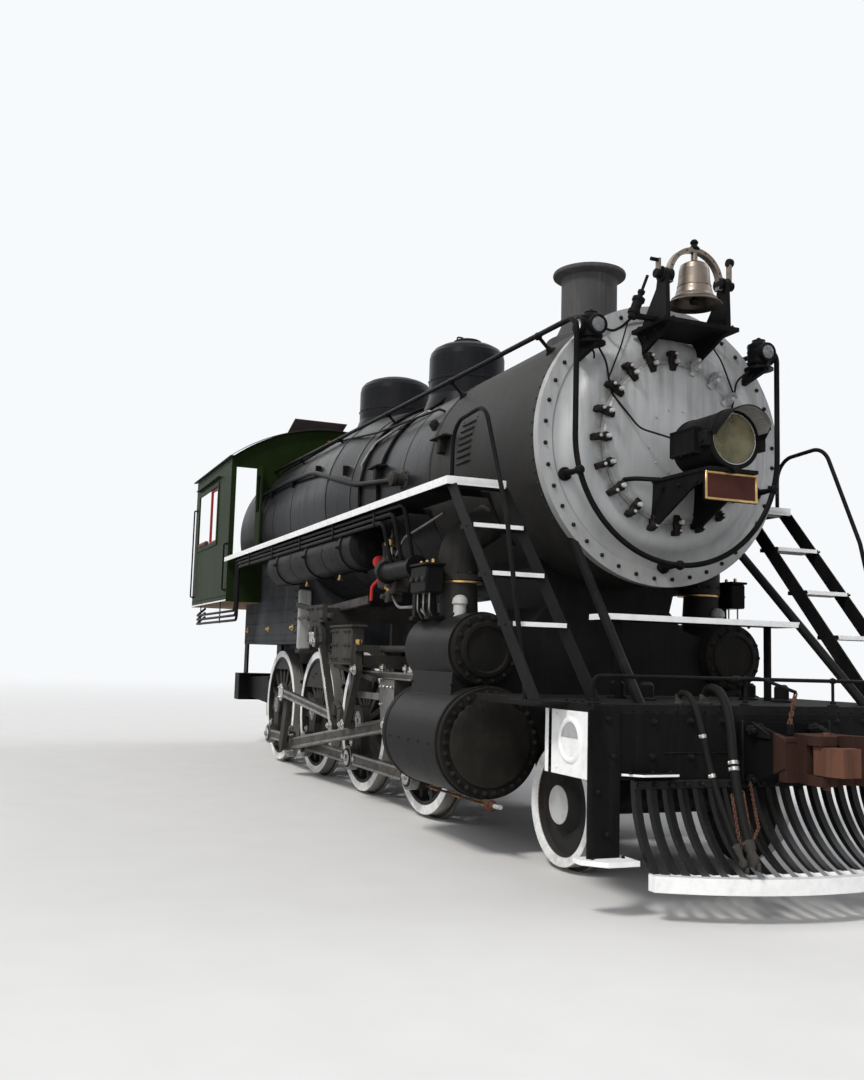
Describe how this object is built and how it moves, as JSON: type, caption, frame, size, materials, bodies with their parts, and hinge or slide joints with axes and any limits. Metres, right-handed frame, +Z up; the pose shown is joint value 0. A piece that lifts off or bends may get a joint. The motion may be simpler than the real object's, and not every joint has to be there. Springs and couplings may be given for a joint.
{
  "type": "steam locomotive engine, eight coupled wheels with a leading truck",
  "caption": "Steam railway engine without its tender: boiler, smokebox, cab, cylinders, rods, driving wheels, leading truck, pilot and coupler.",
  "frame": {"origin": "middle of the footprint, at the level of the wheel flange tips", "axes": "+X forward to the pilot, +Y to the engine's left, +Z up"},
  "size_m": [13.1, 3.102, 5.0015],
  "materials": {
    "boiler_jacket": "gloss",
    "smokebox_paint": "matte",
    "smokebox_front_paint": "satin",
    "frame_black": "satin",
    "cab_green": "gloss",
    "roof_black": "matte",
    "sash_red": "satin",
    "rod_steel": "satin",
    "wheel_black": "satin",
    "bell_bronze": "polished",
    "coupler_rust": "matte",
    "cast_iron_grey": "matte",
    "firebox_grey": "matte",
    "hose_rubber": "matte",
    "seat_leather": "satin",
    "floor_wood": "matte"
  },
  "bodies": {
    "engine": {"air_pump": "frame_black", "air_reservoirs": "frame_black", "axle_boxes": "cast_iron_grey", "bell_stand": "frame_black", "boiler": "boiler_jacket", "brake_gear": "cast_iron_grey", "brake_hose": "hose_rubber", "cab_fittings": "cast_iron_grey", "cab_floor": "floor_wood", "cab_front": "roof_black", "cab_roof": "roof_black", "cab_seats": "seat_leather", "cab_sides": "cab_green", "coupler": "coupler_rust", "cross_board": "frame_black", "cylinder_heads": "frame_black", "cylinder_left": "frame_black", "cylinder_right": "frame_black", "deck": "frame_black", "domes": "boiler_jacket", "drawbar_casting": "cast_iron_grey", "firebox": "firebox_grey", "front_steps": "frame_black", "grab_rails": "frame_black", "guides": "rod_steel", "handrails": "frame_black", "headlight": "frame_black", "headlight_shelf": "frame_black", "ladders": "frame_black", "main_frame": "frame_black", "marker_lamps": "frame_black", "pilot": "frame_black", "pilot_beam": "frame_black", "running_boards": "frame_black", "signal_hose": "hose_rubber", "smokebox": "smokebox_paint", "smokebox_door": "smokebox_front_paint", "smokebox_front": "smokebox_front_paint", "smokebox_stays": "frame_black", "stack": "smokebox_paint", "steam_pipes": "frame_black", "valve_gear": "rod_steel", "window_sashes": "sash_red"},
    "driver_1": {"driver_wheelset_1": "wheel_black"},
    "driver_2": {"driver_wheelset_2": "wheel_black"},
    "driver_3": {"driver_wheelset_3": "wheel_black"},
    "driver_4": {"driver_wheelset_4": "wheel_black"},
    "side_rod_right": {"side_rods_right": "rod_steel"},
    "side_rod_left": {"side_rods_left": "rod_steel"},
    "crosshead_right": {"crosshead_right": "rod_steel"},
    "crosshead_left": {"crosshead_left": "rod_steel"},
    "main_rod_right": {"main_rod_right": "rod_steel"},
    "main_rod_left": {"main_rod_left": "rod_steel"},
    "pilot_truck": {"pilot_truck": "frame_black"},
    "pilot_wheels": {"pilot_wheelset": "wheel_black"},
    "bell": {"bell": "bell_bronze"},
    "cab_door_right": {"cab_door_right": "sash_red"},
    "cab_door_left": {"cab_door_left": "sash_red"},
    "roof_hatch": {"roof_hatch": "roof_black"},
    "knuckle": {"knuckle": "coupler_rust"}
  },
  "joints": [
    {"name": "driver_3_roll", "type": "hinge", "parent": "engine", "child": "driver_3", "pos_m": [-1.384, 0, 0.752], "axis": [0, 1, 0], "continuous": true},
    {"name": "driver_1_roll", "type": "hinge", "parent": "engine", "child": "driver_1", "pos_m": [2.07, 0, 0.752], "axis": [0, 1, 0], "continuous": true},
    {"name": "driver_2_roll", "type": "hinge", "parent": "engine", "child": "driver_2", "pos_m": [0.343, 0, 0.752], "axis": [0, 1, 0], "continuous": true},
    {"name": "driver_4_roll", "type": "hinge", "parent": "engine", "child": "driver_4", "pos_m": [-3.111, 0, 0.752], "axis": [0, 1, 0], "continuous": true},
    {"name": "side_rod_right_turn", "type": "hinge", "parent": "driver_3", "child": "side_rod_right", "pos_m": [-1.384, -0.9275, 0.371], "axis": [0, 1, 0], "continuous": true},
    {"name": "side_rod_left_turn", "type": "hinge", "parent": "driver_3", "child": "side_rod_left", "pos_m": [-1.003, 0.9275, 0.752], "axis": [0, 1, 0], "continuous": true},
    {"name": "crosshead_right_slide", "type": "slide", "parent": "engine", "child": "crosshead_right", "axis": [1, 0, 0], "range_m": [-0.381, 0.381]},
    {"name": "crosshead_left_slide", "type": "slide", "parent": "engine", "child": "crosshead_left", "axis": [1, 0, 0], "range_m": [-0.762, 0]},
    {"name": "main_rod_right_swing", "type": "hinge", "parent": "crosshead_right", "child": "main_rod_right", "pos_m": [2.08586, -1.12, 0.828], "axis": [0, 1, 0], "range_deg": [0, 12.5]},
    {"name": "main_rod_left_swing", "type": "hinge", "parent": "crosshead_left", "child": "main_rod_left", "pos_m": [2.496, 1.12, 0.828], "axis": [0, 1, 0], "range_deg": [-6.26, 6.24]},
    {"name": "pilot_truck_swing", "type": "hinge", "parent": "engine", "child": "pilot_truck", "pos_m": [3, 0, 0.59], "axis": [0, 0, 1], "range_deg": [-2, 2]},
    {"name": "pilot_wheel_roll", "type": "hinge", "parent": "pilot_truck", "child": "pilot_wheels", "pos_m": [4.6, 0, 0.447], "axis": [0, 1, 0], "continuous": true},
    {"name": "bell_swing", "type": "hinge", "parent": "engine", "child": "bell", "pos_m": [5, 0, 4.193], "axis": [0, 1, 0], "range_deg": [-20, 20]},
    {"name": "cab_door_right_hinge", "type": "hinge", "parent": "engine", "child": "cab_door_right", "pos_m": [-3.708, -1.116, 3.36], "axis": [0, 0, 1], "range_deg": [-90, 0]},
    {"name": "cab_door_left_hinge", "type": "hinge", "parent": "engine", "child": "cab_door_left", "pos_m": [-3.708, 1.116, 3.36], "axis": [0, 0, 1], "range_deg": [0, 90]},
    {"name": "roof_hatch_hinge", "type": "hinge", "parent": "engine", "child": "roof_hatch", "pos_m": [-5.298, 0, 4.733], "axis": [0, 1, 0], "range_deg": [-50, 18]},
    {"name": "knuckle_hinge", "type": "hinge", "parent": "engine", "child": "knuckle", "pos_m": [6.4, -0.105, 0.908], "axis": [0, 0, 1], "range_deg": [-40, 0]}
  ],
  "couplings": [
    {"joint": "driver_1_roll", "follows": "driver_3_roll", "ratio": 1},
    {"joint": "driver_2_roll", "follows": "driver_3_roll", "ratio": 1},
    {"joint": "driver_4_roll", "follows": "driver_3_roll", "ratio": 1},
    {"joint": "side_rod_right_turn", "follows": "driver_3_roll", "ratio": -1},
    {"joint": "side_rod_left_turn", "follows": "driver_3_roll", "ratio": -1}
  ]
}
